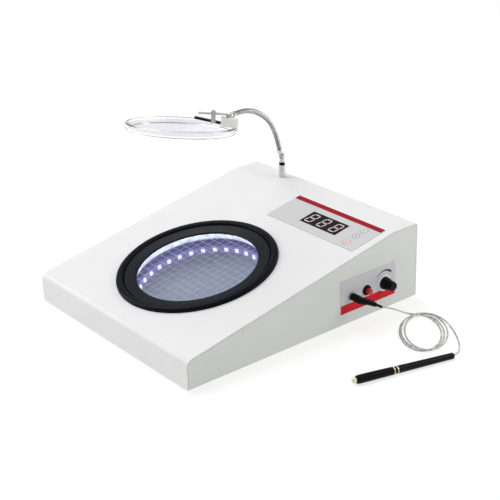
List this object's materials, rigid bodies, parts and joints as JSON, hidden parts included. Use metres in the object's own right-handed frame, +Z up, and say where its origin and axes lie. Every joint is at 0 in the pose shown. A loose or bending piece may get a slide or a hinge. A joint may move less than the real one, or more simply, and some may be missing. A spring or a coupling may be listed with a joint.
{
  "type": "colony counter",
  "caption": "Bench-top digital colony counter: sloping case with a lit round stage, touch keys, a gooseneck magnifier and a touch pen on a thin lead.",
  "frame": {"origin": "middle of the underside of the case, neck, magnifier and pen taken together, at the level of the feet", "axes": "+X to the user's right, along the case's width; +Y to the back; +Z up"},
  "size_m": [0.4406, 0.3546, 0.2517],
  "materials": {
    "white_case": "satin",
    "grey_steel": "satin",
    "black_rubber": "matte",
    "screws": "satin",
    "black_ring": "gloss",
    "clear_glass": "clear",
    "clear_acrylic": "clear",
    "well": "matte",
    "leds": "emissive",
    "overlay": "satin",
    "key_orange": "satin",
    "key_grey": "satin",
    "key_pale": "satin",
    "display": "gloss",
    "circuit_board": "satin",
    "side_label": "satin",
    "black_plastic": "satin",
    "red_plastic": "gloss",
    "chrome_tube": "polished",
    "satin_chrome": "satin",
    "holder": "gloss",
    "pen_black": "satin",
    "pen_tip": "satin",
    "brass": "polished",
    "lead": "satin"
  },
  "bodies": {
    "housing": {"top_cover": "white_case", "left_side_panel": "white_case", "right_side_panel": "white_case", "base_plate": "grey_steel", "rubber_feet": "black_rubber", "m3_screws": "screws", "stage_ring": "black_ring", "dish_ring": "black_ring", "stage_glass": "clear_glass", "reflector_well": "well", "led_ring": "leds", "panel_overlay": "overlay", "display_modules": "display", "main_board": "circuit_board", "tact_switches": "black_plastic", "beeper": "black_plastic", "power_supply": "grey_steel", "side_label": "side_label", "probe_jack": "black_plastic", "panel_nuts": "screws", "push_button_body": "black_plastic", "potentiometer": "grey_steel", "power_inlet": "black_plastic", "neck_socket": "satin_chrome", "neck_band": "black_plastic"},
    "probe": {"pen_front_barrel": "pen_black", "pen_rings": "brass", "pen_rear_barrel": "pen_black", "plug_body": "black_plastic", "plug_pin": "brass", "cord_lead": "lead", "cord_coil": "lead", "cord_tail": "lead"},
    "pen_tip": {"pen_tip": "pen_tip"},
    "button_cap": {"button_cap": "red_plastic"},
    "knob": {"control_knob": "black_plastic", "knob_shaft": "screws"},
    "power_rocker": {"power_rocker": "black_plastic"},
    "fuse_drawer": {"fuse_drawer": "black_plastic"},
    "reset_key": {"reset_key": "key_orange"},
    "mode_key": {"mode_key": "key_grey"},
    "sound_key": {"sound_key": "key_pale"},
    "neck_post": {"neck_post": "satin_chrome"},
    "neck_1": {"neck_ferrule": "satin_chrome", "neck_link_1": "chrome_tube"},
    "neck_2": {"neck_link_2": "chrome_tube"},
    "neck_3": {"neck_link_3": "chrome_tube"},
    "neck_4": {"neck_link_4": "chrome_tube"},
    "neck_5": {"neck_link_5": "chrome_tube"},
    "neck_6": {"neck_link_6": "chrome_tube"},
    "neck_7": {"neck_link_7": "chrome_tube"},
    "neck_8": {"neck_link_8": "chrome_tube", "neck_ball_end": "satin_chrome"},
    "lens": {"magnifier_lens": "clear_acrylic", "lens_rim": "clear_acrylic", "clip_holder": "holder", "clip_lower_lever": "black_plastic", "clip_pin": "screws", "clip_spring": "screws"},
    "clip_lever": {"clip_upper_lever": "satin_chrome"}
  },
  "joints": [
    {"name": "plug_pull", "type": "slide", "parent": "housing", "child": "probe", "axis": [1, 0, 0], "range_m": [0, 0.018]},
    {"name": "pen_press", "type": "slide", "parent": "probe", "child": "pen_tip", "axis": [0.2503, 0.9681, -0.0129], "range_m": [0, 0.0008], "stiffness_N_per_m": 600, "springref_m": -0.0004},
    {"name": "button_press", "type": "slide", "parent": "housing", "child": "button_cap", "axis": [-1, 0, 0], "range_m": [0, 0.0025], "stiffness_N_per_m": 500, "springref_m": -0.001},
    {"name": "knob_turn", "type": "hinge", "parent": "housing", "child": "knob", "pos_m": [0.08774, 0.11727, 0.037], "axis": [1, 0, 0], "range_deg": [-135, 135]},
    {"name": "rocker_tilt", "type": "hinge", "parent": "housing", "child": "power_rocker", "pos_m": [-0.16476, 0.17117, 0.051], "axis": [1, 0, 0], "range_deg": [0, 16]},
    {"name": "fuse_pull", "type": "slide", "parent": "housing", "child": "fuse_drawer", "axis": [0, 1, 0], "range_m": [0, 0.012]},
    {"name": "reset_key_press", "type": "slide", "parent": "housing", "child": "reset_key", "axis": [0, 0.1931, -0.9812], "range_m": [0, 0.0004], "stiffness_N_per_m": 800, "springref_m": -0.0003},
    {"name": "mode_key_press", "type": "slide", "parent": "housing", "child": "mode_key", "axis": [0, 0.1931, -0.9812], "range_m": [0, 0.0004], "stiffness_N_per_m": 800, "springref_m": -0.0003},
    {"name": "sound_key_press", "type": "slide", "parent": "housing", "child": "sound_key", "axis": [0, 0.1931, -0.9812], "range_m": [0, 0.0004], "stiffness_N_per_m": 800, "springref_m": -0.0003},
    {"name": "neck_swivel", "type": "hinge", "parent": "housing", "child": "neck_post", "pos_m": [-0.15126, 0.15567, 0.119], "axis": [0, 0, 1], "range_deg": [-90, 90]},
    {"name": "neck_tilt", "type": "hinge", "parent": "neck_post", "child": "neck_1", "pos_m": [-0.15126, 0.15567, 0.129], "axis": [0.8406, 0.5417, 0], "range_deg": [-20, 10]},
    {"name": "gooseneck_bend", "type": "hinge", "parent": "neck_1", "child": "neck_2", "pos_m": [-0.14216, 0.13858, 0.16292], "axis": [0.8406, 0.5417, 0], "range_deg": [-6, 3]},
    {"name": "gooseneck_bend_3", "type": "hinge", "parent": "neck_2", "child": "neck_3", "pos_m": [-0.13265, 0.12383, 0.18218], "axis": [0.8406, 0.5417, 0], "range_deg": [-6, 3]},
    {"name": "gooseneck_bend_4", "type": "hinge", "parent": "neck_3", "child": "neck_4", "pos_m": [-0.12133, 0.10627, 0.19777], "axis": [0.8406, 0.5417, 0], "range_deg": [-6, 3]},
    {"name": "gooseneck_bend_5", "type": "hinge", "parent": "neck_4", "child": "neck_5", "pos_m": [-0.10897, 0.08709, 0.21042], "axis": [0.8406, 0.5417, 0], "range_deg": [-6, 3]},
    {"name": "gooseneck_bend_6", "type": "hinge", "parent": "neck_5", "child": "neck_6", "pos_m": [-0.0961, 0.06712, 0.2212], "axis": [0.8406, 0.5417, 0], "range_deg": [-6, 3]},
    {"name": "gooseneck_bend_7", "type": "hinge", "parent": "neck_6", "child": "neck_7", "pos_m": [-0.0828, 0.04648, 0.23004], "axis": [0.8406, 0.5417, 0], "range_deg": [-6, 3]},
    {"name": "gooseneck_bend_8", "type": "hinge", "parent": "neck_7", "child": "neck_8", "pos_m": [-0.06916, 0.02532, 0.23688], "axis": [0.8406, 0.5417, 0], "range_deg": [-6, 3]},
    {"name": "lens_tilt", "type": "hinge", "parent": "neck_8", "child": "lens", "pos_m": [-0.04776, -0.00789, 0.2437], "axis": [0.6188, 0.7807, -0.0872], "range_deg": [-18, 18]},
    {"name": "clip_open", "type": "hinge", "parent": "lens", "child": "clip_lever", "pos_m": [-0.05975, -0.02224, 0.248], "axis": [0.7807, -0.5989, 0.1781], "range_deg": [0, 9], "stiffness_Nm_per_rad": 0.05, "springref_deg": -11.46}
  ],
  "couplings": [
    {"joint": "gooseneck_bend_3", "follows": "gooseneck_bend", "ratio": 1},
    {"joint": "gooseneck_bend_4", "follows": "gooseneck_bend", "ratio": 1},
    {"joint": "gooseneck_bend_5", "follows": "gooseneck_bend", "ratio": 1},
    {"joint": "gooseneck_bend_6", "follows": "gooseneck_bend", "ratio": 1},
    {"joint": "gooseneck_bend_7", "follows": "gooseneck_bend", "ratio": 1},
    {"joint": "gooseneck_bend_8", "follows": "gooseneck_bend", "ratio": 1}
  ]
}
